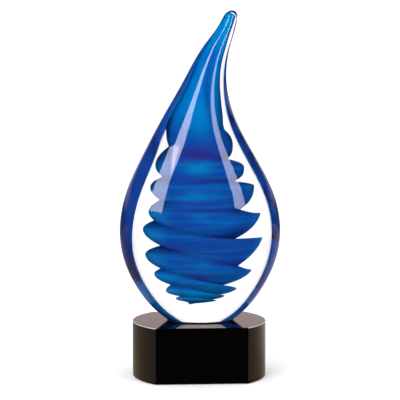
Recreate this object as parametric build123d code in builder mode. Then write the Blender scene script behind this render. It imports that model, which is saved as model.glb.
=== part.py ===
"""Teardrop art-glass award on a black glass base, as an assembly of its separate pieces.

Frame: +Z up, origin at the centre of the underside, the broad front face looks along -Y. Millimetres.

From the bottom up the award is a felt pad, a black glass base, a film of clear adhesive, and a solid
glass teardrop: a blue core twisted into a spiral, a clear casing gathered over it, and a cobalt skin
over the casing that is polished away at the front and the back, so that it stays as a rim.
"""

import math
import os

from build123d import *

# Base and pad
BASE_DIAMETER = 95.0
BASE_DEPTH = 69.8  # across the front and back flats
BASE_HEIGHT = 39.2
BASE_BEVEL = 0.4
PAD_THICKNESS = 0.5
PAD_INSET = 3.0

# Adhesive film between the base and the teardrop's ground foot
BOND_THICKNESS = 0.7
BOND_SQUEEZE = 0.4  # how far the film stands out round the foot

BASE_TOP = PAD_THICKNESS + BASE_HEIGHT

# Teardrop, broad in the bulb and leaning to a rounded tip on the right; it stands on its ground foot
# Each station: height above the base, left edge, right edge, half depth
DROP_STATIONS = [
    (BOND_THICKNESS, -22.8, 24.6, 17.0),
    (8.0, -31.7, 33.4, 20.8),
    (18.0, -40.4, 41.8, 24.4),
    (40.0, -52.2, 53.6, 27.8),
    (64.0, -56.3, 57.8, 28.6),
    (92.0, -51.4, 52.3, 27.0),
    (120.0, -38.8, 37.8, 22.8),
    (145.0, -25.6, 25.0, 17.6),
    (170.0, -11.2, 19.3, 12.4),
    (194.0, 2.6, 21.7, 8.0),
    (210.0, 14.2, 26.1, 5.6),
    (219.6, 19.1, 27.3, 4.2),
]
TIP_ROUNDING = 3.8

# Cobalt skin and the window polished through it: height above the base, edge of the window
RIM_THICKNESS = 1.5
WINDOW_LEFT = [
    (-2.0, -10.0),
    (2.0, -17.1),
    (8.0, -26.9),
    (18.0, -35.2),
    (40.0, -45.2),
    (60.0, -47.8),
    (90.0, -42.6),
    (120.0, -30.6),
    (145.0, -21.2),
    (165.0, -10.4),
    (185.0, -1.4),
    (199.0, 6.9),
    (207.0, 12.6),
    (213.8, 17.4),
]
WINDOW_RIGHT = [
    (-2.0, 15.0),
    (2.0, 21.6),
    (8.0, 31.6),
    (18.0, 40.9),
    (40.0, 52.0),
    (58.0, 55.3),
    (84.0, 50.4),
    (120.0, 31.4),
    (145.0, 20.3),
    (160.0, 17.3),
    (172.0, 17.0),
    (189.0, 19.8),
    (200.0, 22.5),
    (213.8, 26.1),
]
WINDOW_TOP = 218.2
WINDOW_TOP_MIDDLE = 21.8

# Spiral core: height above the base, left edge, right edge, half depth, stand-out of the thread
CORE_STATIONS = [
    (10.5, -6.0, 7.0, 4.0, 0.0),
    (17.0, -15.6, 16.2, 9.4, 1.4),
    (28.0, -24.0, 26.4, 13.6, 2.8),
    (50.0, -30.6, 34.6, 17.4, 4.2),
    (72.0, -31.0, 36.0, 18.0, 4.2),
    (95.0, -27.8, 31.6, 16.4, 3.2),
    (120.0, -22.0, 20.0, 13.2, 1.6),
    (146.0, -19.2, 13.8, 10.6, 0.0),
    (170.0, -8.4, 12.9, 7.8, 0.0),
    (194.0, 5.0, 17.3, 4.8, 0.0),
    (210.0, 15.9, 22.4, 2.6, 0.0),
    (216.4, 20.2, 23.9, 1.4, 0.0),
]
THREAD_PITCH = 14.3
THREAD_PHASE = 21.0  # height above the base of a ridge on the left side
THREAD_TOP = 146.0  # where the thread has faded into the smooth spire above it
THREAD_SECTIONS = 60
SPIRE_SECTIONS = 9
THREAD_DEPTH_SHARE = 0.6  # of the stand-out at the sides, how much is left at front and back


def at_height(stations, height):
    """A station's values at any height, on smooth curves through the stations (cubic Hermite)."""
    last = len(stations) - 2
    i = next((n for n in range(last) if height < stations[n + 1][0]), last)
    below = stations[max(i - 1, 0)]
    low = stations[i]
    high = stations[i + 1]
    above = stations[min(i + 2, last + 1)]
    span = high[0] - low[0]
    t = (height - low[0]) / span
    values = []
    for k in range(1, len(low)):
        slope_low = (high[k] - below[k]) / (high[0] - below[0]) * span
        slope_high = (above[k] - low[k]) / (above[0] - low[0]) * span
        values.append(
            (2 * t**3 - 3 * t**2 + 1) * low[k]
            + (t**3 - 2 * t**2 + t) * slope_low
            + (3 * t**2 - 2 * t**3) * high[k]
            + (t**3 - t**2) * slope_high
        )
    return values


def heights_between(bottom, top, sections):
    """Evenly spaced heights, both ends included."""
    return [bottom + (top - bottom) * n / sections for n in range(sections + 1)]


def drop_section(height, inset):
    """One horizontal section of the teardrop, as an ellipse drawn in by the inset."""
    left, right, half_depth = at_height(DROP_STATIONS, height)
    with BuildSketch(Plane.XY.offset(BASE_TOP + height), mode=Mode.PRIVATE) as section:
        with Locations(((left + right) / 2, 0)):
            Ellipse((right - left) / 2 - inset, half_depth - inset)
    return section.sketch


def core_section(height):
    """One horizontal section of the core: an ellipse whose centre winds down to the right in front."""
    left, right, half_depth, stand_out = at_height(CORE_STATIONS, height)
    turn = 2 * math.pi * (height - THREAD_PHASE) / THREAD_PITCH
    middle_x = (left + right) / 2 - stand_out * math.cos(turn)
    middle_y = THREAD_DEPTH_SHARE * stand_out * math.sin(turn)
    with BuildSketch(Plane.XY.offset(BASE_TOP + height), mode=Mode.PRIVATE) as section:
        with Locations((middle_x, middle_y)):
            Ellipse((right - left) / 2, half_depth)
    return section.sketch


def base_outline(inset):
    """The base's plan: a disc cut by a front and a back flat."""
    with BuildSketch(mode=Mode.PRIVATE) as plan:
        Circle(BASE_DIAMETER / 2 - inset)
        Rectangle(BASE_DIAMETER, BASE_DEPTH - 2 * inset, mode=Mode.INTERSECT)
    return plan.sketch


# Felt pad, stuck to the underside of the base
with BuildPart() as felt_pad:
    with BuildSketch():
        add(base_outline(PAD_INSET))
    extrude(amount=PAD_THICKNESS)

# Black glass base, with fine polished bevels round its top and bottom
with BuildPart() as glass_base:
    with BuildSketch(Plane.XY.offset(PAD_THICKNESS)):
        add(base_outline(0))
    extrude(amount=BASE_HEIGHT)
    chamfer(glass_base.faces().sort_by(Axis.Z)[-1].edges(), BASE_BEVEL)
    chamfer(glass_base.faces().sort_by(Axis.Z)[0].edges(), BASE_BEVEL)

# Adhesive film under the teardrop's foot
foot_left, foot_right, foot_half_depth = DROP_STATIONS[0][1:]
with BuildPart() as bond_film:
    with BuildSketch(Plane.XY.offset(BASE_TOP)):
        with Locations(((foot_left + foot_right) / 2, 0)):
            Ellipse((foot_right - foot_left) / 2 + BOND_SQUEEZE, foot_half_depth + BOND_SQUEEZE)
    extrude(amount=BOND_THICKNESS)

# Outer shape of the whole teardrop, which the cobalt rim and the clear casing share
with BuildPart() as teardrop:
    for station in DROP_STATIONS:
        add(drop_section(station[0], 0))
    loft()
    fillet(teardrop.faces().sort_by(Axis.Z)[-1].edges(), TIP_ROUNDING)

# What lies under the cobalt skin
with BuildPart() as under_skin:
    for station in DROP_STATIONS[:-1]:
        add(drop_section(station[0], RIM_THICKNESS))
    add(drop_section(DROP_STATIONS[-1][0] - RIM_THICKNESS, RIM_THICKNESS))
    loft()

# The window runs through the skin from front to back
with BuildPart() as window:
    with BuildSketch(Plane.XZ):
        with BuildLine():
            left_side = Spline([(x, BASE_TOP + height) for height, x in WINDOW_LEFT])
            right_side = Spline([(x, BASE_TOP + height) for height, x in WINDOW_RIGHT])
            ThreePointArc(left_side @ 1, (WINDOW_TOP_MIDDLE, BASE_TOP + WINDOW_TOP), right_side @ 1)
            Line(left_side @ 0, right_side @ 0)
        make_face()
    extrude(amount=BASE_DEPTH, both=True)

# Blue spiral core: the threaded body, then the smooth spire that rises into the tip
with BuildPart() as spiral_core:
    for height in heights_between(CORE_STATIONS[0][0], THREAD_TOP, THREAD_SECTIONS):
        add(core_section(height))
    loft()
    for height in heights_between(THREAD_TOP, CORE_STATIONS[-1][0], SPIRE_SECTIONS):
        add(core_section(height))
    loft()

# Cobalt rim: the skin that is left round the window
with BuildPart() as cobalt_rim:
    add(teardrop.part)
    add(under_skin.part, mode=Mode.SUBTRACT)
    add(window.part, mode=Mode.SUBTRACT)

# Clear casing: the rest of the teardrop, closed round the core
with BuildPart() as clear_casing:
    add(teardrop.part)
    add(cobalt_rim.part, mode=Mode.SUBTRACT)
    add(spiral_core.part, mode=Mode.SUBTRACT)

PIECES = {
    "felt_pad": felt_pad,
    "glass_base": glass_base,
    "bond_film": bond_film,
    "spiral_core": spiral_core,
    "clear_casing": clear_casing,
    "cobalt_rim": cobalt_rim,
}

os.makedirs("parts", exist_ok=True)
for name, piece in PIECES.items():
    piece.part.label = name
    export_step(piece.part, f"parts/{name}.step")
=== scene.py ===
"""Visual model of a teardrop art-glass award on a black glass base.

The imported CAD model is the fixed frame. Every piece here takes its place from that frame, in metres,
with +Z up and the broad front face towards -Y. The sizes of the glass forms are given in millimetres,
their heights above the top of the base, as a glass shop would note them, and MM turns them into metres.
"""

import logging
import math
from dataclasses import dataclass
from enum import Enum

import bmesh
import bpy
import numpy as np
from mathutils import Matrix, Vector

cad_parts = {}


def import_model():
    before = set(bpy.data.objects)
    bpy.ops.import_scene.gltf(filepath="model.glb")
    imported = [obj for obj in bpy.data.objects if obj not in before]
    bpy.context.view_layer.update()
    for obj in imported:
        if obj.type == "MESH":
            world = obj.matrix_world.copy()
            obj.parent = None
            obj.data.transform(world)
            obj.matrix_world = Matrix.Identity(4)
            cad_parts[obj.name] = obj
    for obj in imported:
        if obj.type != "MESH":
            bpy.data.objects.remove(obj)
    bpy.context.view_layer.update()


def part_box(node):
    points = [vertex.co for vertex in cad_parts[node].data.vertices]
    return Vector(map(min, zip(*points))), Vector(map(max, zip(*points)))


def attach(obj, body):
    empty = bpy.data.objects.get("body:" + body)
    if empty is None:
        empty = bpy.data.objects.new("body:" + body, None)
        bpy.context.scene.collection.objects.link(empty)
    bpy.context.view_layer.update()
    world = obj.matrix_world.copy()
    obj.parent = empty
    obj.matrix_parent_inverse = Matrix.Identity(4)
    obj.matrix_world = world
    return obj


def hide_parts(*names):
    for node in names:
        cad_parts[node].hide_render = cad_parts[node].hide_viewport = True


MM = 0.001
BODY = "root"
GLASS_IOR = 1.5
FULL_TURN = 2 * math.pi

log = logging.getLogger("award")


# ---------------------------------------------------------------- curves


@dataclass(frozen=True)
class SmoothCurve:
    """A value that varies smoothly with height or turn, drawn through a few given knots."""

    knots: tuple[tuple[float, float], ...]

    def bends(self) -> np.ndarray:
        """Second derivatives at the knots of the natural cubic spline."""
        x, y = np.array(self.knots, dtype=float).T
        step = np.diff(x)
        rise = np.diff(y) / step
        system = np.eye(len(x))
        wanted = np.zeros(len(x))
        for i in range(1, len(x) - 1):
            system[i, i - 1 : i + 2] = step[i - 1], 2 * (step[i - 1] + step[i]), step[i]
            wanted[i] = 6 * (rise[i] - rise[i - 1])
        return np.linalg.solve(system, wanted)

    def at(self, places: np.ndarray) -> np.ndarray:
        """Reads the curve.

        Args:
            places: Heights or turns, held within the curve's ends.

        Returns:
            The curve's value at each place.
        """
        x, y = np.array(self.knots, dtype=float).T
        bend = self.bends()
        q = np.clip(np.asarray(places, dtype=float), x[0], x[-1])
        i = np.clip(np.searchsorted(x, q) - 1, 0, len(x) - 2)
        step = x[i + 1] - x[i]
        u = q - x[i]
        slope = (y[i + 1] - y[i]) / step - step * (2 * bend[i] + bend[i + 1]) / 6
        return y[i] + u * slope + u**2 * bend[i] / 2 + u**3 * (bend[i + 1] - bend[i]) / (6 * step)


def blend_ends(start: np.ndarray, end: np.ndarray, share: np.ndarray) -> np.ndarray:
    """Goes evenly from start to end as share goes from 0 to 1."""
    return start + (end - start) * share


# ---------------------------------------------------------------- finishes


class Slot(Enum):
    """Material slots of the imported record."""

    FELT = "felt"
    BLACK_GLASS = "black_glass"
    ADHESIVE = "adhesive"
    BLUE_GLASS = "blue_glass"
    CLEAR_GLASS = "clear_glass"
    COBALT_GLASS = "cobalt_glass"


Colour = tuple[float, float, float]
Span = tuple[float, float]


def srgb(red: int, green: int, blue: int) -> Colour:
    """Turns a colour as it looks on a screen, 0 to 255, into the linear colour that shaders take."""
    shown = np.array([red, green, blue]) / 255
    return tuple(np.where(shown <= 0.04045, shown / 12.92, ((shown + 0.055) / 1.055) ** 2.4))


class NodeDesk:
    """A node tree, with short ways to add and join nodes."""

    def __init__(self, tree: bpy.types.NodeTree) -> None:
        """Clears the tree to work on."""
        self.tree = tree
        self.tree.nodes.clear()

    def add(self, kind: str, **settings: object) -> bpy.types.Node:
        """Adds a node of the kind and sets its properties."""
        node = self.tree.nodes.new(kind)
        for key, value in settings.items():
            setattr(node, key, value)
        return node

    def join(self, source: bpy.types.NodeSocket, target: bpy.types.NodeSocket) -> None:
        """Links an output socket to an input socket."""
        self.tree.links.new(source, target)

    def feed(self, target: bpy.types.NodeSocket, value: object) -> None:
        """Gives an input socket what another socket puts out, or a plain number or colour."""
        if isinstance(value, bpy.types.NodeSocket):
            self.join(value, target)
        elif isinstance(value, tuple):
            target.default_value = (*value, 1)
        else:
            target.default_value = value

    def attribute(self, name: str) -> bpy.types.NodeSocket:
        """Reads a number that the mesh carries at each vertex."""
        return self.add("ShaderNodeAttribute", attribute_name=name).outputs["Fac"]

    def place(self, stretch: Colour = (1, 1, 1), turn: Colour = (0, 0, 0)) -> bpy.types.NodeSocket:
        """Object coordinates, stretched and turned.

        Args:
            stretch: Scale along each axis.
            turn: Rotation about each axis, in radians.

        Returns:
            The vector to feed a texture.
        """
        mapping = self.add("ShaderNodeMapping")
        mapping.inputs["Scale"].default_value = stretch
        mapping.inputs["Rotation"].default_value = turn
        self.join(self.add("ShaderNodeTexCoord").outputs["Object"], mapping.inputs["Vector"])
        return mapping.outputs["Vector"]

    def noise(
        self, vector: bpy.types.NodeSocket, scale: float, detail: float = 4, twist: float = 0
    ) -> bpy.types.NodeSocket:
        """Noise over a vector, as a number from 0 to 1."""
        node = self.add("ShaderNodeTexNoise")
        node.inputs["Scale"].default_value = scale
        node.inputs["Detail"].default_value = detail
        node.inputs["Distortion"].default_value = twist
        self.join(vector, node.inputs["Vector"])
        return node.outputs["Fac"]

    def ramp(
        self, value: bpy.types.NodeSocket, stops: tuple[tuple[float, Colour], ...]
    ) -> bpy.types.NodeSocket:
        """Turns a number into a colour through a list of stops."""
        node = self.add("ShaderNodeValToRGB")
        elements = node.color_ramp.elements
        while len(elements) < len(stops):
            elements.new(1)
        for element, (position, colour) in zip(elements, stops):
            element.position = position
            element.color = (*colour, 1)
        self.join(value, node.inputs["Fac"])
        return node.outputs["Color"]

    def spread(
        self, value: bpy.types.NodeSocket, low: float, high: float, to_low: float = 0, to_high: float = 1
    ) -> bpy.types.NodeSocket:
        """Maps a range of numbers smoothly to another range, clamped at both ends."""
        node = self.add("ShaderNodeMapRange", interpolation_type="SMOOTHSTEP")
        for name, number in zip(("From Min", "From Max", "To Min", "To Max"), (low, high, to_low, to_high)):
            node.inputs[name].default_value = number
        self.join(value, node.inputs["Value"])
        return node.outputs["Result"]

    def math(
        self, operation: str, first: bpy.types.NodeSocket | float,
        second: bpy.types.NodeSocket | float, clamp: bool = False,
    ) -> bpy.types.NodeSocket:
        """Does one sum on two numbers, held between 0 and 1 if clamped."""
        node = self.add("ShaderNodeMath", operation=operation, use_clamp=clamp)
        self.feed(node.inputs[0], first)
        self.feed(node.inputs[1], second)
        return node.outputs[0]

    def vector(
        self, operation: str, first: bpy.types.NodeSocket, second: bpy.types.NodeSocket
    ) -> bpy.types.NodeSocket:
        """Does one sum on two vectors, or scales the first by the second."""
        node = self.add("ShaderNodeVectorMath", operation=operation)
        self.join(first, node.inputs[0])
        self.join(second, node.inputs["Scale" if operation == "SCALE" else 1])
        return node.outputs[0]

    def mix(
        self, share: bpy.types.NodeSocket, first: bpy.types.NodeSocket | Colour,
        second: bpy.types.NodeSocket | Colour,
    ) -> bpy.types.NodeSocket:
        """Mixes two colours, all of the first at 0 and all of the second at 1."""
        node = self.add("ShaderNodeMix", data_type="RGBA")
        self.join(share, node.inputs[0])
        self.feed(node.inputs[6], first)
        self.feed(node.inputs[7], second)
        return node.outputs[2]


class FinishDesk(NodeDesk):
    """A material's node tree, with one Principled shader."""

    def __init__(self, name: str) -> None:
        """Makes the material.

        Args:
            name: The material's name.
        """
        self.material = bpy.data.materials.new(name)
        self.material.use_nodes = True
        super().__init__(self.material.node_tree)
        self.output = self.add("ShaderNodeOutputMaterial")
        self.shader = self.add("ShaderNodeBsdfPrincipled")
        self.join(self.shader.outputs["BSDF"], self.output.inputs["Surface"])

    def set(self, **values: object) -> None:
        """Sets the shader's sockets, with underscores for spaces in their names."""
        for key, value in values.items():
            self.shader.inputs[key.replace("_", " ")].default_value = value

    def drive(self, name: str, source: bpy.types.NodeSocket) -> None:
        """Feeds the shader's socket of that name."""
        self.join(source, self.shader.inputs[name])

    def bump(self, height: bpy.types.NodeSocket, strength: float, distance: float) -> None:
        """Feeds a height, in metres times distance, to the shader's normal."""
        node = self.add("ShaderNodeBump")
        node.inputs["Strength"].default_value = strength
        node.inputs["Distance"].default_value = distance
        self.join(height, node.inputs["Height"])
        self.drive("Normal", node.outputs["Normal"])


@dataclass(frozen=True)
class ClearGlass:
    """Water-clear fire-polished glass."""

    ior: float = GLASS_IOR
    roughness: float = 0.0

    def make(self) -> bpy.types.Material:
        """Builds the material."""
        desk = FinishDesk("water_clear_glass")
        desk.set(Base_Color=(1, 1, 1, 1), Roughness=self.roughness, IOR=self.ior, Transmission_Weight=1.0)
        return desk.material


@dataclass(frozen=True)
class BlueGlass:
    """Turquoise to royal blue glass, twisted so that darker and paler streaks follow the thread, with
    painted shade in the grooves, light painted through the thin edges and painted highlights on the lobes.
    """

    tip: Colour = srgb(0, 150, 214)
    hood: Colour = srgb(0, 126, 206)
    body: Colour = srgb(18, 76, 172)
    lowest: Colour = srgb(0, 122, 202)
    royal: Colour = srgb(16, 74, 168)
    # groove: dark purple for the drawn streaks, and also the painted shade laid into the grooves between
    # the lobes
    groove: Colour = srgb(48, 46, 134)
    # edge: pale turquoise painted on the thin edges of the lobes, as light shining through the thin glass
    edge: Colour = srgb(24, 164, 232)
    # Colour of the pale spots on the fronts of the lobes, a painted highlight
    painted_highlight: Colour = srgb(0, 142, 206)

    def make(self) -> bpy.types.Material:
        """Builds the material from the numbers that the core's mesh carries."""
        desk = FinishDesk("twisted_blue_glass")
        base = desk.ramp(
            desk.attribute("rise"),
            (
                (0.0, self.lowest),
                (0.09, self.lowest),
                (0.19, self.body),
                (0.58, self.body),
                (0.69, self.hood),
                (0.85, self.hood),
                (1.0, self.tip),
            ),
        )
        slope = (0.0, math.radians(7), 0.0)
        bands = desk.noise(desk.place((16, 16, 210), slope), 1.0, 6, 0.5)
        threads = desk.noise(desk.place((34, 34, 900), slope), 1.0, 5, 0.8)
        smoke = desk.noise(desk.place((60, 60, 150), slope), 1.0, 6, 1.0)
        threaded = desk.attribute("threaded")
        paler = desk.math("MULTIPLY", desk.spread(bands, 0.45, 0.72, 0, 0.55), threaded)
        streaky = desk.mix(paler, base, self.hood)
        duller = desk.math("MULTIPLY", desk.spread(threads, 0.5, 0.8, 0, 0.7), threaded)
        lined = desk.mix(duller, streaky, self.groove)
        run = desk.math("MULTIPLY", desk.attribute("royal"), desk.spread(smoke, 0.3, 0.6, 0.7, 1))
        drawn = desk.mix(run, lined, self.royal)
        # Painted highlight: pale spots on the fronts of the lobes stand for light coming through and off
        # the glass.
        pale = desk.math("MULTIPLY", desk.attribute("pale"), desk.spread(smoke, 0.32, 0.58, 0.45, 1))
        highlighted = desk.mix(pale, drawn, self.painted_highlight)
        # Painted light: the thin edges of the lobes are made paler, as if lit through the thin glass.
        thin = desk.math("MULTIPLY", desk.attribute("thin"), desk.spread(threads, 0.3, 0.6, 1, 0.6))
        edged = desk.mix(thin, highlighted, self.edge)
        # Painted shade: the grooves and the undersides of the lobes are darkened where shade falls,
        # together with the glass's own purple bands.
        dark = desk.math("MULTIPLY", desk.attribute("dark"), desk.spread(bands, 0.3, 0.62, 1, 0.4))
        desk.drive("Base Color", desk.mix(dark, edged, self.groove))
        desk.set(Roughness=0.45, Specular_IOR_Level=0.0)
        return desk.material


@dataclass(frozen=True)
class CobaltGlass:
    """Deep cobalt skin with darker drawn-out streaks and brighter stretches at the left."""

    deep: Colour = srgb(26, 72, 162)
    shade: Colour = srgb(18, 26, 84)
    bright: Colour = srgb(30, 118, 196)

    def make(self) -> bpy.types.Material:
        """Builds the material from the numbers that the rim's mesh carries."""
        desk = FinishDesk("cobalt_glass")
        streaks = desk.noise(desk.place((110, 30, 16)), 1.0, 5, 0.8)
        shaded = desk.mix(desk.spread(streaks, 0.45, 0.8, 0, 0.75), self.deep, self.shade)
        lit = desk.mix(desk.attribute("bright"), shaded, self.bright)
        marks = desk.math("MULTIPLY", desk.attribute("dark"), desk.spread(streaks, 0.25, 0.5, 0.5, 1))
        desk.drive("Base Color", desk.mix(marks, lit, self.shade))
        desk.set(Roughness=0.4, Specular_IOR_Level=0.0)
        return desk.material


@dataclass(frozen=True)
class BlackGlass:
    """Solid black glass, polished to a mirror, with the faintest smears on it and a pale painted highlight
    on the curved top bevel.
    """

    colour: Colour = (0.0004, 0.0004, 0.0005)
    smear: Colour = (0.0012, 0.0011, 0.001)
    # Painted highlight: this pale colour on the curved top bevel stands for the bright line of light it
    # catches.
    ground: Colour = srgb(190, 184, 178)

    def make(self) -> bpy.types.Material:
        """Builds the material."""
        desk = FinishDesk("polished_black_glass")
        smears = desk.noise(desk.place((18, 18, 42)), 1.0, 5, 0.5)
        desk.drive("Roughness", desk.spread(smears, 0.35, 0.75, 0.015, 0.06))
        tint = desk.mix(smears, self.colour, self.smear)
        # Painted highlight laid on the bevel faces that the ground attribute marks.
        desk.drive("Base Color", desk.mix(desk.attribute("ground"), tint, self.ground))
        desk.set(IOR=GLASS_IOR)
        return desk.material


@dataclass(frozen=True)
class CuredAdhesive:
    """Thin cured adhesive, dark where the black base shows through it."""

    colour: Colour = srgb(14, 11, 9)
    haze: Colour = srgb(34, 28, 24)

    def make(self) -> bpy.types.Material:
        """Builds the material."""
        desk = FinishDesk("cured_adhesive")
        cloud = desk.noise(desk.place((300, 300, 300)), 1.0, 3)
        desk.drive("Base Color", desk.mix(cloud, self.colour, self.haze))
        desk.drive("Roughness", desk.spread(cloud, 0.3, 0.7, 0.12, 0.3))
        return desk.material


@dataclass(frozen=True)
class BlackFelt:
    """Dense black felt with a matted pile."""

    colour: Colour = srgb(22, 22, 24)
    lint: Colour = srgb(58, 58, 62)

    def make(self) -> bpy.types.Material:
        """Builds the material."""
        desk = FinishDesk("black_felt")
        pile = desk.noise(desk.place((2600, 2600, 2600)), 1.0, 6, 1.2)
        desk.drive("Base Color", desk.mix(desk.spread(pile, 0.45, 0.8), self.colour, self.lint))
        desk.set(Roughness=0.95, Sheen_Weight=0.4, Sheen_Roughness=0.5)
        desk.bump(pile, 0.6, 0.0004)
        return desk.material


# ---------------------------------------------------------------- meshes


def new_piece(name: str, mesh: bpy.types.Mesh, material: bpy.types.Material) -> bpy.types.Object:
    """Stands a finished mesh in the scene as a piece.

    Args:
        name: The piece's name.
        mesh: Its mesh, already in the frame's place.
        material: Its one material.

    Returns:
        The object, at the origin, unturned and unscaled.
    """
    piece = bpy.data.objects.new(name, mesh)
    bpy.context.scene.collection.objects.link(piece)
    mesh.materials.clear()
    mesh.materials.append(material)
    return piece


def fasten(piece: bpy.types.Object, slot: Slot, *nodes: str) -> None:
    """Ties a piece to the award's one body and to the CAD nodes it stands for, which it hides."""
    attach(piece, BODY)
    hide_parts(*nodes)
    log.info("%s stands for %s, %d faces", piece.name, ", ".join(nodes), len(piece.data.polygons))


def close_mesh(work: bmesh.types.BMesh, name: str, sharp_angle: float = 40) -> bpy.types.Mesh:
    """Welds a closed shell, points its faces outward and shades it smooth between sharp edges.

    Args:
        work: The shell's faces. It is freed here.
        name: The mesh's name.
        sharp_angle: Edges that turn by more degrees than this stay crisp.

    Returns:
        The finished mesh.
    """
    bmesh.ops.remove_doubles(work, verts=work.verts, dist=1e-6)
    bmesh.ops.dissolve_degenerate(work, edges=work.edges, dist=1e-7)
    bmesh.ops.recalc_face_normals(work, faces=work.faces)
    mesh = bpy.data.meshes.new(name)
    work.to_mesh(mesh)
    work.free()
    mesh.polygons.foreach_set("use_smooth", [True] * len(mesh.polygons))
    mesh.set_sharp_from_angle(angle=math.radians(sharp_angle))
    return mesh


def skin_grid(
    work: bmesh.types.BMesh, points: np.ndarray | list[np.ndarray], wrap: bool
) -> list[list[bmesh.types.BMVert]]:
    """Covers a grid of points with four-sided faces.

    Args:
        work: The mesh to add to.
        points: Rows by columns by three coordinates, in metres.
        wrap: Whether the last column joins the first.

    Returns:
        The vertices, row by row.
    """
    rows = [[work.verts.new(point) for point in row] for row in points]
    columns = len(rows[0])
    for low, high in zip(rows, rows[1:]):
        for j in range(columns if wrap else columns - 1):
            k = (j + 1) % columns
            work.faces.new((low[j], low[k], high[k], high[j]))
    return rows


def capped_rings(rings: list[np.ndarray]) -> bmesh.types.BMesh:
    """Joins closed rings of points, lowest first, and closes both ends with a flat face."""
    work = bmesh.new()
    rows = skin_grid(work, rings, True)
    work.faces.new(list(reversed(rows[0])))
    work.faces.new(rows[-1])
    return work


def level_ring(x: np.ndarray, y: np.ndarray, z: float) -> np.ndarray:
    """A ring of points at one height, in metres."""
    return np.stack([x, y, np.full(len(x), z)], axis=-1)


def paint(mesh: bpy.types.Mesh, name: str, values: np.ndarray) -> None:
    """Stores a number at each vertex, for the material to read."""
    layer = mesh.attributes.new(name, "FLOAT", "POINT")
    layer.data.foreach_set("value", np.asarray(values, dtype=np.float32).ravel())


def vertex_places(mesh: bpy.types.Mesh) -> np.ndarray:
    """Returns every vertex's place, as rows of three, in metres."""
    places = np.empty(len(mesh.vertices) * 3)
    mesh.vertices.foreach_get("co", places)
    return places.reshape(-1, 3)


# ---------------------------------------------------------------- the teardrop's form


@dataclass(frozen=True)
class DropForm:
    """Outer form of the solid glass teardrop: flattened sections that lean to a rounded tip.

    The level is the height of the base's top, in metres, and the foot is the height of the ground
    foot above it, in millimetres.
    """

    level: float
    foot: float
    height: float = 219.6
    tip_round: float = 4.0
    left: SmoothCurve = SmoothCurve(
        ((0.7, -22.8), (8, -31.7), (18, -40.4), (40, -52.2), (64, -56.3), (92, -51.4), (120, -38.8),
         (145, -25.6), (170, -11.2), (194, 2.6), (210, 14.2), (219.6, 19.1))
    )
    right: SmoothCurve = SmoothCurve(
        ((0.7, 24.6), (8, 33.4), (18, 41.8), (40, 53.6), (64, 57.8), (92, 52.3), (120, 37.8), (145, 25.0),
         (170, 19.3), (194, 21.7), (210, 26.1), (219.6, 27.3))
    )
    depth: SmoothCurve = SmoothCurve(
        ((0.7, 17.0), (8, 20.8), (18, 24.4), (40, 27.8), (64, 28.6), (92, 27.0), (120, 22.8), (145, 17.6),
         (170, 12.4), (194, 8.0), (210, 5.6), (219.6, 4.2))
    )

    def section(
        self, heights: np.ndarray, inset: float | np.ndarray
    ) -> tuple[np.ndarray, np.ndarray, np.ndarray]:
        """Middle, half width and half depth of the sections at some heights, all in millimetres.

        Args:
            heights: Heights above the base, in millimetres.
            inset: How far inside the outer surface, sideways and down from the tip, the same for all
                or one for each height.

        Returns:
            Three arrays as long as heights.
        """
        start = self.height - self.tip_round
        past = np.clip((heights - start) / (self.tip_round - inset), 0, 1)
        rounding = np.sqrt(1 - past**2)
        left, right, depth = (curve.at(heights) for curve in (self.left, self.right, self.depth))
        return (left + right) / 2, ((right - left) / 2 - inset) * rounding, (depth - inset) * rounding

    def rows(self, count: int, inset: float = 0.0, bottom: float = 0.0) -> np.ndarray:
        """Heights of rings that crowd together at the rounded tip."""
        start = self.height - self.tip_round
        straight = np.linspace(bottom, start, count)
        turn = np.linspace(0, math.pi / 2, count // 10)[1:]
        return np.concatenate([straight, start + (self.tip_round - inset) * np.sin(turn)])

    def points(self, heights: np.ndarray, angles: np.ndarray, inset: float | np.ndarray) -> np.ndarray:
        """Places on the form or inside it.

        Args:
            heights: One height for each row, in millimetres above the base.
            angles: One row of angles for every height, or the same row for all; 0 is towards +X.
            inset: How far inside the outer surface, in millimetres, as for a section.

        Returns:
            Rows by columns by three coordinates, in metres.
        """
        middle, half_width, half_depth = self.section(heights, inset)
        angles = np.broadcast_to(angles, (len(heights), np.shape(angles)[-1]))
        x = middle[:, None] + half_width[:, None] * np.cos(angles)
        y = half_depth[:, None] * np.sin(angles)
        z = np.broadcast_to(heights[:, None], x.shape)
        return np.stack([x, y, z], axis=-1) * MM + np.array([0, 0, self.level])


@dataclass
class ClearCasing:
    """The clear gather: the whole teardrop's glass, with the coloured glass lying inside it."""

    form: DropForm
    rings: int = 300
    columns: int = 180
    foot_round: float = 0.6
    foot_rings: int = 5

    def build(self, material: bpy.types.Material) -> bpy.types.Object:
        """Builds the closed teardrop, its foot's edge eased and its underside ground flat."""
        turn = np.linspace(0, FULL_TURN, self.columns, endpoint=False)
        ease = np.linspace(0, math.pi / 2, self.foot_rings, endpoint=False)
        foot = self.form.foot + self.foot_round * (1 - np.cos(ease))
        side = self.form.rows(self.rings, bottom=self.form.foot + self.foot_round)
        insets = np.concatenate([self.foot_round * (1 - np.sin(ease)), np.zeros(len(side))])
        work = bmesh.new()
        rows = skin_grid(work, self.form.points(np.concatenate([foot, side]), turn, insets), True)
        work.faces.new(list(reversed(rows[0])))
        mesh = close_mesh(work, "clear_casing_glass", 60)
        piece = new_piece("clear_casing_glass", mesh, material)
        fasten(piece, Slot.CLEAR_GLASS, "clear_casing")
        return piece


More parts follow.
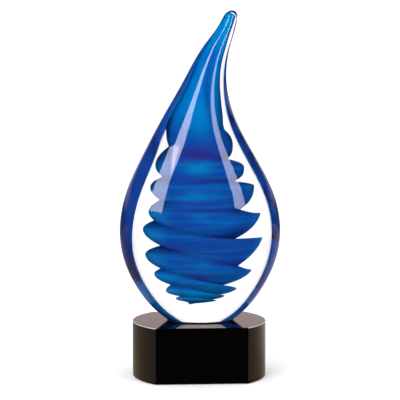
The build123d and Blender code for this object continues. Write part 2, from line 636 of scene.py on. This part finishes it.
@dataclass
class CobaltRim:
    """The cobalt skin left round the sides, its window open at the front and the back."""

    form: DropForm
    depth_below: float = 0.15
    thickness: float = 1.35
    foot_gap: float = 0.1
    edge_limit: float = 0.996
    rings: int = 260
    columns: int = 36
    window_top: float = 218.2
    window_shoulder: float = 213.8
    window_middle: float = 21.8
    window_left: SmoothCurve = SmoothCurve(
        ((-2, -11.0), (2, -18.4), (8, -27.6), (18, -35.6), (40, -45.2), (60, -47.8), (90, -42.6),
         (120, -30.6), (145, -21.2), (165, -10.4), (185, -1.4), (199, 6.9), (207, 12.6), (213.8, 17.4))
    )
    window_right: SmoothCurve = SmoothCurve(
        ((-2, 15.0), (0.7, 20.8), (3, 26.0), (8, 32.6), (18, 41.3), (40, 53.1), (58, 57.0), (71, 55.9),
         (84, 51.6), (94, 46.6), (102, 42.0), (120, 31.6), (145, 20.3), (160, 17.3), (172, 17.0),
         (189, 19.8), (200, 22.5), (213.8, 26.1))
    )

    def window_edge(self, heights: np.ndarray, side: int) -> np.ndarray:
        """Place across of the window's edge, rounding over to the window's middle at the top.

        Args:
            heights: Heights above the base, in millimetres.
            side: -1 for the left edge, 1 for the right.

        Returns:
            Places across, in millimetres.
        """
        edge = (self.window_left if side < 0 else self.window_right).at(heights)
        past = np.clip((heights - self.window_shoulder) / (self.window_top - self.window_shoulder), 0, 1)
        return self.window_middle + (edge - self.window_middle) * np.sqrt(1 - past**2)

    def window_angle(self, heights: np.ndarray, edge: np.ndarray, inset: float) -> np.ndarray:
        """Angle from +X, round the section drawn in by the inset, at which the window's edge lies."""
        middle, half_width, _ = self.form.section(heights, inset)
        share = (edge - middle) / np.maximum(half_width, 1e-6)
        return np.arccos(np.clip(share, -self.edge_limit, self.edge_limit))

    def rows(self) -> np.ndarray:
        """Ring heights, with extra rings where the window rounds over at the top."""
        near_top = np.linspace(0, math.pi / 2, 14)
        rounded = self.window_shoulder + (self.window_top - self.window_shoulder) * np.sin(near_top)
        plain = self.form.rows(self.rings, self.depth_below, self.form.foot + self.foot_gap)
        return np.unique(np.concatenate([plain, rounded]))

    def build(self, material: bpy.types.Material) -> bpy.types.Object:
        """Builds the skin as a closed shell just under the teardrop's surface.

        The window's wall runs straight from front to back, so the skin's inner face starts at the
        same place across as its outer face.
        """
        heights = self.rows()
        inner_inset = self.depth_below + self.thickness
        inner_heights = np.minimum(heights, self.form.height - inner_inset)
        share = np.linspace(0, 1, self.columns)[None, :]
        work = bmesh.new()
        for side in (-1, 1):
            place = self.window_edge(heights, side)
            skins = []
            for levels, inset in ((heights, self.depth_below), (inner_heights, inner_inset)):
                edge = self.window_angle(levels, place, inset)
                start, end = (edge, FULL_TURN - edge) if side < 0 else (-edge, edge)
                angles = start[:, None] + (end - start)[:, None] * share
                points = self.form.points(levels, angles, inset)
                points[..., 0] = side * np.maximum(side * points[..., 0], side * place[:, None] * MM)
                skins.append(skin_grid(work, points, False))
            outer, inner = skins
            for column in (0, -1):
                for i in np.flatnonzero(heights < self.window_top):
                    work.faces.new((outer[i][column], outer[i + 1][column],
                                    inner[i + 1][column], inner[i][column]))
            for j in range(self.columns - 1):
                work.faces.new((outer[0][j], outer[0][j + 1], inner[0][j + 1], inner[0][j]))
        mesh = close_mesh(work, "cobalt_rim_glass", 50)
        self.colour(mesh)
        piece = new_piece("cobalt_rim_glass", mesh, material)
        fasten(piece, Slot.COBALT_GLASS, "cobalt_rim")
        return piece

    def colour(self, mesh: bpy.types.Mesh) -> None:
        """Marks the brighter stretches at the left and the dark drawn marks beside the window."""
        x, _, z = ((vertex_places(mesh) - [0, 0, self.form.level]) / MM).T
        low = np.exp(-(((z - 19) / 12) ** 2)) * (x < 0)
        outline = self.form.left.at(z)
        inward = np.clip((x - outline) / np.maximum(self.window_left.at(z) - outline, 0.1), 0, 1)
        high = inward**1.3 * np.clip((z - 128) / 22, 0, 1) * (x < self.window_left.at(z) + 0.5)
        marks = ((-51, 40, 7, 7), (-45, 33, 6, 4), (23, 144, 5, 4), (31, 131, 4, 4), (38, 119, 4, 3),
                 (-38, 6, 6, 4), (54, 84, 3, 9))
        dark = sum(
            np.exp(-(((x - mx) / wide) ** 2) - ((z - mz) / tall) ** 2) for mx, mz, wide, tall in marks
        )
        paint(mesh, "bright", np.clip(low * 0.9 + high, 0, 1))
        paint(mesh, "dark", np.clip(dark, 0, 1) * 0.9)


# ---------------------------------------------------------------- the spiral core


@dataclass(frozen=True)
class Turn:
    """One turn of the thread, seen from the front: its ridge, and the groove under it, on each side.

    Every pair is a height above the base and a place across, in millimetres. The hook says how much
    the right edge turns up, as a share of the full lift, and the round how blunt the right edge is.
    """

    left_ridge: tuple[float, float]
    left_groove: tuple[float, float]
    right_ridge: tuple[float, float]
    right_groove: tuple[float, float]
    hook: float = 0.0
    round: float = 2.0


@dataclass
class SpiralCore:
    """The blue core: a thread that winds down from the left, in front, to the right."""

    form: DropForm
    top: tuple[float, float] = (218.8, 22.8)
    bottom: tuple[float, float] = (15.6, -6.5)
    steps: int = 11
    columns: int = 160
    ridge_depth: float = 0.54
    groove_depth: float = 0.64
    lift: float = 3.4
    ripple: float = 0.5
    ripple_scale: float = 90.0
    seed: int = 7
    spire_left: SmoothCurve = SmoothCurve(
        ((137, -20.4), (146, -18.6), (162, -11.8), (184, -0.6), (202, 9.6), (210, 14.8), (214, 17.7),
         (217.4, 20.2), (218.8, 22.8))
    )
    spire_right: SmoothCurve = SmoothCurve(
        ((137, 14.2), (146, 13.6), (158, 12.6), (172, 12.5), (184, 14.4), (195, 17.6), (204, 20.7),
         (211, 23.2), (215, 24.5), (217.6, 24.4), (218.8, 22.8))
    )
    spire_start: float = 143.0
    spire_blend: float = 9.0
    turns: tuple[Turn, ...] = (
        Turn((212.5, 17.0), (208.5, 14.0), (211.5, 23.0), (207.5, 21.6)),
        Turn((202, 9.8), (195, 5.2), (199.5, 18.9), (193, 16.8)),
        Turn((184, -0.4), (176, -4.6), (181, 13.8), (172, 12.5)),
        Turn((162, -11.6), (154, -15.6), (158, 12.6), (150, 13.2)),
        Turn((146, -19.2), (137, -20.4), (141, 14.0), (134.5, 15.2)),
        Turn((130, -20.4), (121.5, -18.6), (121.8, 20.6), (113.8, 17.4), 0.0, 2.4),
        Turn((108.8, -27.9), (101, -22.8), (106.4, 28.2), (98.4, 22.4), 0.0, 2.8),
        Turn((93.6, -31.6), (85, -23.8), (93.8, 35.2), (79, 26.4), 0.1, 2.4),
        Turn((77.4, -32.9), (71, -27.8), (72.6, 39.6), (58.4, 21.6), 1.0, 1.6),
        Turn((65.6, -36.6), (54.2, -22.8), (56.4, 41.0), (40.6, 24.6), 1.0, 1.35),
        Turn((48.6, -34.8), (39, -24.2), (35.4, 33.6), (26.8, 12.4), 0.7, 1.45),
        Turn((35.7, -28.8), (28, -18.2), (24.0, 23.6), (21, 10.6), 0.4, 1.4),
        Turn((24.2, -21.2), (20.4, -12.4), (19.8, 16.0), (18, 7.4), 0.2, 1.4),
        Turn((19, -14.8), (17.0, -9.6), (17.2, 10.6), (16.0, 3.0), 0.0, 1.4),
    )

    def winding(self, ridge: bool) -> SmoothCurve:
        """Height along the ridge or the groove, by the number of turns from the top."""
        knots: list[tuple[float, float]] = [(-1.5, self.top[0]), (-1.0, self.top[0])]
        for n, turn in enumerate(self.turns):
            left, right = (
                (turn.left_ridge, turn.right_ridge) if ridge else (turn.left_groove, turn.right_groove)
            )
            knots += [(n, left[0]), (n + 0.5, right[0])]
        last = len(self.turns)
        knots += [(last, self.bottom[0]), (last + 1.5, self.bottom[0])]
        return SmoothCurve(tuple(knots))

    def reach(self, ridge: bool, side: int) -> SmoothCurve:
        """Place across of the ridge or groove on one side, by the number of turns from the top."""
        shift = 0.0 if side < 0 else 0.5
        knots: list[tuple[float, float]] = [(-1.5, self.top[1]), (-1.0 + shift / 2, self.top[1])]
        for n, turn in enumerate(self.turns):
            names = ("left_ridge", "left_groove") if side < 0 else ("right_ridge", "right_groove")
            knots.append((n + shift, getattr(turn, names[0 if ridge else 1])[1]))
        last = len(self.turns)
        knots += [(last + shift, self.bottom[1]), (last + 1.5, self.bottom[1])]
        return SmoothCurve(tuple(knots))

    def along_right(self, name: str, wound: np.ndarray) -> np.ndarray:
        """A turn's hook or round, read smoothly along the thread."""
        knots = tuple((n + 0.5, getattr(turn, name)) for n, turn in enumerate(self.turns))
        return SmoothCurve(knots).at(wound)

    def ring_line(self, ridge: bool, wound: np.ndarray, angle: np.ndarray) -> np.ndarray:
        """Points along the ridge or the groove.

        Args:
            ridge: True for the ridge, False for the groove under it.
            wound: Number of turns from the top.
            angle: Angle of each point from +X.

        Returns:
            Coordinates in millimetres, three for each point, the last above the base.
        """
        left = self.reach(ridge, -1).at(wound)
        right = self.reach(ridge, 1).at(wound)
        half = (right - left) / 2
        x = (left + right) / 2 + half * np.cos(angle)
        y = (self.ridge_depth if ridge else self.groove_depth) * half * np.sin(angle)
        return np.stack([x, y, self.winding(ridge).at(wound)], axis=-1)

    def root_mesh(self) -> bpy.types.Mesh:
        """Builds the smooth root of the thread, carrying how far each point reaches to the ridge.

        Rows follow the thread, so that its ridge runs along the mesh's edges. Going once round, a
        row meets the row one turn lower, and the ends close on single points.

        Returns:
            The mesh, with the attributes that the thread's node tree and the finish read.
        """
        per_turn = 2 * self.steps
        rows = per_turn * (len(self.turns) + 2) + 1
        column, row = np.meshgrid(np.arange(self.columns), np.arange(rows))
        round_share = column / self.columns
        angle = -math.pi + FULL_TURN * round_share
        phase = row / per_turn - 1.0
        whole = np.floor(phase)
        part = phase - whole
        below = part <= 0.5
        fall = np.where(below, part * 2, (1 - part) * 2)
        ridge_wound = np.where(below, whole, whole + 1) + round_share
        groove_wound = whole + round_share
        ridge = self.ring_line(True, ridge_wound, angle)
        groove = self.ring_line(False, groove_wound, angle)
        share = (1 - fall)[..., None]
        root = groove.copy()
        root[..., 2] = blend_ends(groove, ridge, share)[..., 2]
        reach = ridge - groove
        reach[..., 2] = 0
        height = root[..., 2]
        smooth = np.clip((height - self.spire_start) / self.spire_blend, 0, 1)[..., None]
        left, right = (curve.at(height) for curve in (self.spire_left, self.spire_right))
        half = (right - left) / 2
        spire = np.stack([(left + right) / 2 + half * np.cos(angle),
                          self.ridge_depth * half * np.sin(angle), height], axis=-1)
        root = root * (1 - smooth) + spire * smooth
        reach *= 1 - smooth
        work = bmesh.new()
        places = root * MM + np.array([0, 0, self.form.level])
        grid = [[work.verts.new(point) for point in line] for line in places]
        work.verts.index_update()
        for i in range(rows - 1):
            for j in range(self.columns):
                k, down = (j + 1, 0) if j + 1 < self.columns else (0, per_turn)
                if i + 1 + down < rows:
                    work.faces.new((grid[i][j], grid[i + 1][j], grid[i + 1 + down][k], grid[i + down][k]))
        mesh = bpy.data.meshes.new("spiral_core_root")
        work.to_mesh(mesh)
        work.free()
        layer = mesh.attributes.new("reach", "FLOAT_VECTOR", "POINT")
        layer.data.foreach_set("vector", (reach * MM).astype(np.float32).ravel())
        paint(mesh, "fall", fall)
        paint(mesh, "over", ~below)
        paint(mesh, "side", np.cos(angle))
        paint(mesh, "front", -np.sin(angle))
        paint(mesh, "hook", np.clip(self.along_right("hook", ridge_wound), 0, 1))
        paint(mesh, "round", self.along_right("round", ridge_wound))
        paint(mesh, "rise", np.clip(root[..., 2] / self.top[0], 0, 1))
        return mesh

    def thread_tree(self) -> bpy.types.NodeTree:
        """Builds the node tree that raises the thread from its root.

        Returns:
            A tree with inputs for the lift of the ridge's outer edge, the ripple and the material.
        """
        tree = bpy.data.node_groups.new("raise_thread", "GeometryNodeTree")
        face = tree.interface
        face.new_socket("Geometry", in_out="INPUT", socket_type="NodeSocketGeometry")
        for name, kind in (
            ("Edge Lift", "NodeSocketFloat"),
            ("Ripple Height", "NodeSocketFloat"),
            ("Ripple Scale", "NodeSocketFloat"),
            ("Seed", "NodeSocketFloat"),
            ("Finish", "NodeSocketMaterial"),
        ):
            face.new_socket(name, in_out="INPUT", socket_type=kind)
        face.new_socket("Geometry", in_out="OUTPUT", socket_type="NodeSocketGeometry")
        desk = NodeDesk(tree)
        given = desk.add("NodeGroupInput").outputs

        def read(name: str, kind: str = "FLOAT") -> bpy.types.NodeSocket:
            """Reads an attribute of the root mesh."""
            node = desk.add("GeometryNodeInputNamedAttribute", data_type=kind)
            node.inputs["Name"].default_value = name
            return node.outputs["Attribute"]

        right_share = desk.math("MULTIPLY", desk.math("ADD", read("side"), 1.0), 0.5)
        sharper = desk.math("MULTIPLY", right_share, desk.math("SUBTRACT", 2.0, read("round")))
        power = desk.math("SUBTRACT", 2.0, sharper)
        profile = desk.math("SUBTRACT", 1.0, desk.math("POWER", read("fall"), power))
        peak, to_right = desk.math("POWER", profile, 4.0), desk.math("POWER", right_share, 3.0)
        turned = desk.math("MULTIPLY", peak, to_right)
        raised = desk.add("ShaderNodeCombineXYZ")
        hooked = desk.math("MULTIPLY", turned, read("hook"))
        desk.join(desk.math("MULTIPLY", hooked, given["Edge Lift"]), raised.inputs["Z"])
        noise = desk.add("ShaderNodeTexNoise", noise_dimensions="4D")
        desk.join(desk.add("GeometryNodeInputPosition").outputs[0], noise.inputs["Vector"])
        desk.join(given["Seed"], noise.inputs["W"])
        desk.join(given["Ripple Scale"], noise.inputs["Scale"])
        centre = desk.add("ShaderNodeCombineXYZ")
        for socket in centre.inputs:
            socket.default_value = 0.5
        waves = desk.vector("SUBTRACT", noise.outputs["Color"], centre.outputs[0])
        rippled = desk.vector("SCALE", waves, desk.math("MULTIPLY", given["Ripple Height"], profile))
        reached = desk.vector("SCALE", read("reach", "FLOAT_VECTOR"), profile)
        offset = desk.vector("ADD", desk.vector("ADD", reached, raised.outputs[0]), rippled)
        move = desk.add("GeometryNodeSetPosition")
        desk.join(given["Geometry"], move.inputs["Geometry"])
        desk.join(offset, move.inputs["Offset"])
        realize = desk.add("GeometryNodeRealizeInstances")
        desk.join(move.outputs["Geometry"], realize.inputs["Geometry"])
        dress = desk.add("GeometryNodeSetMaterial")
        desk.join(realize.outputs["Geometry"], dress.inputs["Geometry"])
        desk.join(given["Finish"], dress.inputs["Material"])
        desk.join(dress.outputs["Geometry"], desk.add("NodeGroupOutput").inputs["Geometry"])
        return tree

    def build(self, material: bpy.types.Material) -> bpy.types.Object:
        """Builds the core: root mesh, thread raised by the node tree, then a plain closed mesh."""
        root = bpy.data.objects.new("spiral_core_root", self.root_mesh())
        bpy.context.scene.collection.objects.link(root)
        tree = self.thread_tree()
        modifier = root.modifiers.new("thread", "NODES")
        modifier.node_group = tree
        sizes = {
            "Edge Lift": self.lift * MM,
            "Ripple Height": self.ripple * MM,
            "Ripple Scale": self.ripple_scale,
            "Seed": float(self.seed),
            "Finish": material,
        }
        identifiers = {s.name: s.identifier for s in tree.interface.items_tree if s.in_out == "INPUT"}
        for name, value in sizes.items():
            modifier[identifiers[name]] = value
        evaluated = root.evaluated_get(bpy.context.evaluated_depsgraph_get())
        raised = bpy.data.meshes.new_from_object(evaluated)
        bpy.data.objects.remove(root)
        bpy.data.node_groups.remove(tree)
        work = bmesh.new()
        work.from_mesh(raised)
        mesh = close_mesh(work, "spiral_core_glass", 50)
        bpy.data.meshes.remove(raised)
        self.colour(mesh)
        piece = new_piece("spiral_core_glass", mesh, material)
        fasten(piece, Slot.BLUE_GLASS, "spiral_core")
        return piece

    def colour(self, mesh: bpy.types.Mesh) -> None:
        """Marks the painted shade in the grooves with the dark drawn streaks, the thin edges painted bright
        as if lit through, and the pale spots of painted highlight.
        """
        carried = {}
        for name in ("fall", "side", "front"):
            values = np.empty(len(mesh.vertices), dtype=np.float32)
            mesh.attributes[name].data.foreach_get("value", values)
            carried[name] = values
        fall, side, front = carried["fall"], carried["side"], carried["front"]
        x, _, z = ((vertex_places(mesh) - [0, 0, self.form.level]) / MM).T

        def spots(marks: tuple[tuple[float, ...], ...]) -> np.ndarray:
            """Soft oval spots, each given by its place across, height, width, tallness and strength."""
            return sum(
                strength * np.exp(-(((x - mx) / wide) ** 2) - ((z - mz) / tall) ** 2)
                for mx, mz, wide, tall, strength in marks
            )

        threaded = np.clip((132 - z) / 14, 0, 1)
        # Painted shade: dark towards the groove under each lobe, where shade falls.
        groove = np.clip((fall - 0.45) / 0.5, 0, 1) ** 1.4 * np.clip(1.15 - np.abs(side), 0, 1)
        # Dark purple bands by the grooves, partly the glass's own streaks and partly painted shade.
        bands = ((-2, 121, 12, 4.2, 1), (15, 115.5, 6, 1.8, 1), (15, 60.5, 11, 2.2, 1),
                 (-17, 53, 12, 2.8, 1), (0, 35, 14, 2.2, 0.8), (-10, 28.5, 12, 1.8, 0.8))
        dark = groove * threaded * 0.85 + spots(bands) * np.abs(front) * 0.9
        # Painted light: thin lobe edges made paler, as light shining through the thin glass.
        left_edge = np.clip((-side - 0.62) / 0.36, 0, 1)
        right_edge = np.clip((side - 0.86) / 0.14, 0, 1) * 0.5
        thin = (left_edge + right_edge) * np.clip(1 - fall * 1.1, 0, 1) * threaded
        # Painted highlight: pale spots on the fronts of the lobes.
        painted_highlight_spots = ((1, 143, 8, 11, 0.7), (-1, 109.5, 11, 4.6, 1), (-1, 90, 14, 3.4, 1),
                   (0, 76, 6, 2.4, 0.45), (13, 71, 10, 3.2, 0.35), (3, 44, 8, 3.4, 0.5),
                   (-19, 34, 9, 3.4, 0.8), (9, 25, 12, 2.2, 0.9), (-5, 21.5, 10, 2.4, 1))
        run = SmoothCurve(((126, 9), (143.5, 6.6), (164, 4.6), (185, 8.6), (205, 15.5)))
        royal = np.exp(-(((x - run.at(z)) / 2.6) ** 2)) * np.clip((z - 128) / 14, 0, 1)
        royal *= np.clip((204 - z) / 22, 0, 1)
        shore = np.clip((z - 120) / 14, 0, 1) * np.clip((194 - z) / 24, 0, 1)
        royal += np.clip(1 - (x - self.form.left.at(z) - 1.5) / 6, 0, 1) * shore
        paint(mesh, "threaded", threaded)
        paint(mesh, "dark", np.clip(dark, 0, 1))
        paint(mesh, "thin", np.clip(thin, 0, 1) * 0.85)
        paint(mesh, "pale", np.clip(spots(painted_highlight_spots) * np.abs(front), 0, 1) * 0.85)
        paint(mesh, "royal", np.clip(royal, 0, 1) * np.clip((212 - z) / 8, 0, 1) * 0.9)


# ---------------------------------------------------------------- base, film and pad


@dataclass
class GlassBase:
    """The black glass block: a disc with a flat at the front and the back, and polished bevels."""

    bevel: float = 0.4
    arris: float = 0.12
    crisp: float = 20.0
    arc_steps: int = 72

    def outline(self, low: Vector, high: Vector, inset: float) -> np.ndarray:
        """The block's plan as a closed ring of points.

        Args:
            low: The block's lowest corner.
            high: The block's highest corner.
            inset: How far inside the edge, in metres.

        Returns:
            Points in plan, in metres, anticlockwise from above.
        """
        radius = (high.x - low.x) / 2 - inset
        half_depth = (high.y - low.y) / 2 - inset
        reach = math.asin(half_depth / radius)
        arc = np.linspace(-reach, reach, self.arc_steps)
        right = np.stack([np.cos(arc), np.sin(arc)], axis=-1) * radius
        return np.concatenate([right, -right])

    def build(self, material: bpy.types.Material) -> bpy.types.Object:
        """Builds the block with its bevels, and eases every arris a little so that it catches light."""
        low, high = (Vector(corner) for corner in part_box("glass_base"))
        bevel = self.bevel * MM
        rings = ((low.z, bevel), (low.z + bevel, 0.0), (high.z - bevel, 0.0), (high.z, bevel))
        work = capped_rings([level_ring(*self.outline(low, high, inset).T, z) for z, inset in rings])
        sharp = [e for e in work.edges if e.calc_face_angle(0) > math.radians(self.crisp)]
        bmesh.ops.bevel(work, geom=sharp, offset=self.arris * MM, segments=3, profile=0.5,
                        affect="EDGES", clamp_overlap=True)
        mesh = close_mesh(work, "polished_base", 25)
        self.paint_bevel_highlight(mesh, high.z)
        piece = new_piece("polished_base", mesh, material)
        fasten(piece, Slot.BLACK_GLASS, "glass_base")
        return piece

    def paint_bevel_highlight(self, mesh: bpy.types.Mesh, top: float) -> None:
        """Marks the faces of the top bevel round the curved sides, which get a pale painted highlight."""
        # The ground attribute marks where the pale painted highlight goes.
        layer = mesh.attributes.new("ground", "FLOAT", "FACE")
        for face, mark in zip(mesh.polygons, layer.data):
            sloping = 0.3 < face.normal.z < 0.95
            mark.value = float(sloping and face.center.z > top / 2 and abs(face.normal.x) > 0.3)


@dataclass
class BondFilm:
    """The adhesive film under the teardrop's foot, squeezed out a little unevenly.

    The profile gives how far its edge draws in, in millimetres, at shares of its thickness.
    """

    form: DropForm
    squeeze: float = 0.35
    wander: float = 0.3
    profile: tuple[tuple[float, float], ...] = ((0.0, 0.0), (0.35, -0.06), (0.75, 0.1), (1.0, 0.35))
    columns: int = 240
    seed: int = 11

    def build(self, material: bpy.types.Material) -> bpy.types.Object:
        """Builds the film with a wandering rounded edge."""
        low, high = (Vector(corner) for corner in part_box("bond_film"))
        chance = np.random.default_rng(self.seed)
        angle = np.linspace(0, FULL_TURN, self.columns, endpoint=False)
        wander = np.zeros(self.columns)
        for waves in range(2, 26):
            size, start = chance.uniform(0, 1) / waves**0.6, chance.uniform(0, FULL_TURN)
            wander += size * np.sin(waves * angle + start)
        wander *= self.wander / np.abs(wander).max()
        middle, half_width, half_depth = self.form.section(np.array([self.form.foot]), 0)
        thick = high.z - low.z
        rings = []
        for share, draw_in in self.profile:
            out = self.squeeze + wander - self.wander - draw_in
            x = (middle + (half_width + out) * np.cos(angle)) * MM
            rings.append(level_ring(x, (half_depth + out) * np.sin(angle) * MM, low.z + thick * share))
        piece = new_piece("adhesive_film", close_mesh(capped_rings(rings), "adhesive_film"), material)
        fasten(piece, Slot.ADHESIVE, "bond_film")
        return piece


@dataclass
class FeltPad:
    """The felt pad under the base, with a slightly ragged cut edge."""

    rag: float = 0.12
    columns: int = 480
    seed: int = 5

    def build(self, material: bpy.types.Material) -> bpy.types.Object:
        """Builds the pad."""
        low, high = (Vector(corner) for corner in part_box("felt_pad"))
        radius, half_depth = (high.x - low.x) / 2, (high.y - low.y) / 2
        chance = np.random.default_rng(self.seed)
        angle = np.linspace(0, FULL_TURN, self.columns, endpoint=False)
        out = np.minimum(radius, half_depth / np.maximum(np.abs(np.sin(angle)), 1e-6))
        rings = []
        for share in (0.0, 0.3, 0.7, 1.0):
            ragged = out - self.rag * MM * chance.uniform(0, 1, self.columns)
            z = low.z + (high.z - low.z) * share
            rings.append(level_ring(ragged * np.cos(angle), ragged * np.sin(angle), z))
        piece = new_piece("felt_underside", close_mesh(capped_rings(rings), "felt_underside"), material)
        fasten(piece, Slot.FELT, "felt_pad")
        return piece


# ---------------------------------------------------------------- studio


@dataclass(frozen=True)
class StripLight:
    """A tall soft box that draws a long strip in the glass."""

    name: str
    azimuth: float
    width: float
    bottom: float
    top: float
    radiance: float
    lean: float = 0.0
    distance: float = 1.2

    def build(self) -> None:
        """Hangs the light, facing the award, its top leaning towards the middle by some degrees."""
        lean = math.radians(self.lean)
        height = (self.top - self.bottom) / math.cos(lean)
        lamp = bpy.data.lights.new(self.name, "AREA")
        lamp.shape = "RECTANGLE"
        lamp.size, lamp.size_y = self.width, height
        lamp.energy = self.radiance * math.pi * self.width * height
        holder = bpy.data.objects.new(self.name, lamp)
        turn = math.radians(self.azimuth)
        holder.location = (
            self.distance * math.sin(turn),
            -self.distance * math.cos(turn),
            (self.top + self.bottom) / 2,
        )
        holder.rotation_euler = (math.pi / 2, lean, turn)
        bpy.context.scene.collection.objects.link(holder)


@dataclass
class Studio:
    """White table-top studio: pale floor, white surroundings, three strip lights and the camera.

    The mirrored colours are what polished faces mirror, on the floor and round about. The ranges say
    where one of them gives way to the next, in metres on the floor and in shares of a direction.
    """

    strips: tuple[StripLight, ...] = (
        StripLight("left_strip", azimuth=-39.5, width=0.42, bottom=0.2, top=0.66, radiance=7.5, lean=8.0),
        StripLight("upper_left_strip", azimuth=-26.0, width=0.31, bottom=0.56, top=0.92, radiance=8.5,
                   lean=44.0),
        StripLight("right_strip", azimuth=37.5, width=0.26, bottom=0.2, top=0.72, radiance=6.5),
    )
    floor_half: float = 3.0
    lens: float = 137.6
    sensor: float = 36.0
    distance: float = 1.0801
    eye_height: float = 0.2314
    tilt: float = 5.594
    azimuth: float = -3.453
    sideways: float = 0.00225
    brightness: float = 1.15
    mirrored_front: Colour = (0.004, 0.004, 0.004)
    mirrored_corner: Colour = (0.38, 0.29, 0.19)
    mirrored_left: Colour = (0.34, 0.27, 0.22)
    mirrored_right: Colour = (0.66, 0.58, 0.53)
    mirrored_far: Colour = (0.07, 0.06, 0.06)
    mirrored_back: Colour = (0.76, 0.61, 0.57)
    mirrored_high: Colour = (0.03, 0.03, 0.04)
    mirrored_through: Colour = (0.76, 0.64, 0.58)
    open_white: Colour = (1.0, 1.0, 1.0)
    pale: Colour = (0.95, 0.95, 0.95)
    paler: Colour = (0.97, 0.97, 0.97)
    aside_from: Span = (0.036, 0.046)
    aside_to: Span = (0.22, 0.32)
    beside_from: Span = (-0.12, -0.08)
    front_to_back: Span = (-0.04, 0.16)
    left_to_right: Span = (-0.12, 0.16)
    behind_to_far: Span = (0.35, 0.9)
    skyline: Span = (0.03, 0.12)
    back_top: Span = (0.19, 0.25)
    turn_to_back: Span = (0.0, 0.75)

    def floor(self) -> None:
        """Lays the pale floor."""
        work = bmesh.new()
        bmesh.ops.create_grid(work, x_segments=8, y_segments=8, size=self.floor_half)
        mesh = bpy.data.meshes.new("pale_floor")
        work.to_mesh(mesh)
        work.free()
        desk = FinishDesk("pale_floor")
        cloud = desk.noise(desk.place((3, 3, 3)), 1.0, 2)
        desk.drive("Base Color", desk.mix(cloud, self.pale, self.paler))
        desk.set(Roughness=0.9, Specular_IOR_Level=0.0)
        split = desk.add("ShaderNodeSeparateXYZ")
        desk.join(desk.place(), split.inputs[0])
        x, y = split.outputs["X"], split.outputs["Y"]
        across = desk.math("ABSOLUTE", x, 0.0)
        aside = desk.math("MULTIPLY", desk.spread(across, *self.aside_from),
                          desk.spread(across, *self.aside_to, 1, 0))
        beside = desk.math("MULTIPLY", aside, desk.spread(y, *self.beside_from))
        near = desk.mix(beside, self.mirrored_front, self.mirrored_corner)
        tone = desk.mix(desk.spread(x, *self.left_to_right), self.mirrored_left, self.mirrored_right)
        far = desk.mix(desk.spread(y, *self.behind_to_far), tone, self.mirrored_far)
        dim = desk.add("ShaderNodeEmission")
        desk.join(desk.mix(desk.spread(y, *self.front_to_back), near, far), dim.inputs["Color"])
        rays = desk.add("ShaderNodeLightPath").outputs
        unbent = desk.math("SUBTRACT", 1.0, rays["Is Transmission Ray"])
        choice = desk.add("ShaderNodeMixShader")
        desk.join(desk.math("MULTIPLY", rays["Is Glossy Ray"], unbent), choice.inputs[0])
        desk.join(desk.shader.outputs[0], choice.inputs[1])
        desk.join(dim.outputs[0], choice.inputs[2])
        desk.join(choice.outputs[0], desk.output.inputs["Surface"])
        floor = new_piece("pale_floor", mesh, desk.material)

    def surroundings(self) -> None:
        """Lights from all round, white, with a dim front for what the polished faces mirror."""
        world = bpy.data.worlds.new("white_studio")
        bpy.context.scene.world = world
        world.use_nodes = True
        desk = NodeDesk(world.node_tree)
        white = desk.add("ShaderNodeBackground")
        white.inputs["Strength"].default_value = self.brightness
        mirror = desk.add("ShaderNodeBackground")
        split = desk.add("ShaderNodeSeparateXYZ")
        desk.join(desk.add("ShaderNodeTexCoord").outputs["Generated"], split.inputs[0])
        up = split.outputs["Z"]
        low = desk.mix(desk.spread(up, *self.skyline), self.mirrored_far, self.mirrored_back)
        back = desk.mix(desk.spread(up, *self.back_top), low, self.mirrored_high)
        behind = desk.spread(split.outputs["Y"], *self.turn_to_back)
        desk.join(desk.mix(behind, self.mirrored_front, back), mirror.inputs["Color"])
        rays = desk.add("ShaderNodeLightPath").outputs
        bent = rays["Is Transmission Ray"]
        undiffused = desk.math("SUBTRACT", rays["Glossy Depth"], rays["Diffuse Depth"], True)
        twice = desk.math("MULTIPLY", undiffused, bent, True)
        desk.join(desk.mix(twice, self.open_white, self.mirrored_through), white.inputs["Color"])
        choice = desk.add("ShaderNodeMixShader")
        desk.join(desk.math("SUBTRACT", rays["Is Glossy Ray"], bent, True), choice.inputs[0])
        desk.join(white.outputs[0], choice.inputs[1])
        desk.join(mirror.outputs[0], choice.inputs[2])
        desk.join(choice.outputs[0], desk.add("ShaderNodeOutputWorld").inputs["Surface"])

    def camera(self) -> None:
        """Sets up the camera a little to the left, looking slightly down."""
        data = bpy.data.cameras.new("camera")
        data.lens = self.lens
        data.sensor_width = self.sensor
        data.shift_x = self.sideways
        data.clip_end = 50
        holder = bpy.data.objects.new("camera", data)
        turn = math.radians(self.azimuth)
        holder.location = (
            self.distance * math.sin(turn),
            -self.distance * math.cos(turn),
            self.eye_height,
        )
        holder.rotation_euler = (math.pi / 2 - math.radians(self.tilt), 0, turn)
        bpy.context.scene.collection.objects.link(holder)
        bpy.context.scene.camera = holder

    def build(self) -> None:
        """Sets the whole stage and the plain view transform."""
        self.camera()
        self.floor()
        self.surroundings()
        for strip in self.strips:
            strip.build()
        bpy.context.scene.view_settings.view_transform = "Standard"


def main() -> None:
    """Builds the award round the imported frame."""
    logging.basicConfig(level=logging.INFO, format="%(name)s: %(message)s")
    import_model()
    Studio().build()
    base_top, film_top = (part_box(name)[1][2] for name in ("glass_base", "bond_film"))
    form = DropForm(level=base_top, foot=(film_top - base_top) / MM)
    FeltPad().build(BlackFelt().make())
    GlassBase().build(BlackGlass().make())
    BondFilm(form).build(CuredAdhesive().make())
    SpiralCore(form).build(BlueGlass().make())
    CobaltRim(form).build(CobaltGlass().make())
    ClearCasing(form).build(ClearGlass().make())


if __name__ == "__main__":
    main()
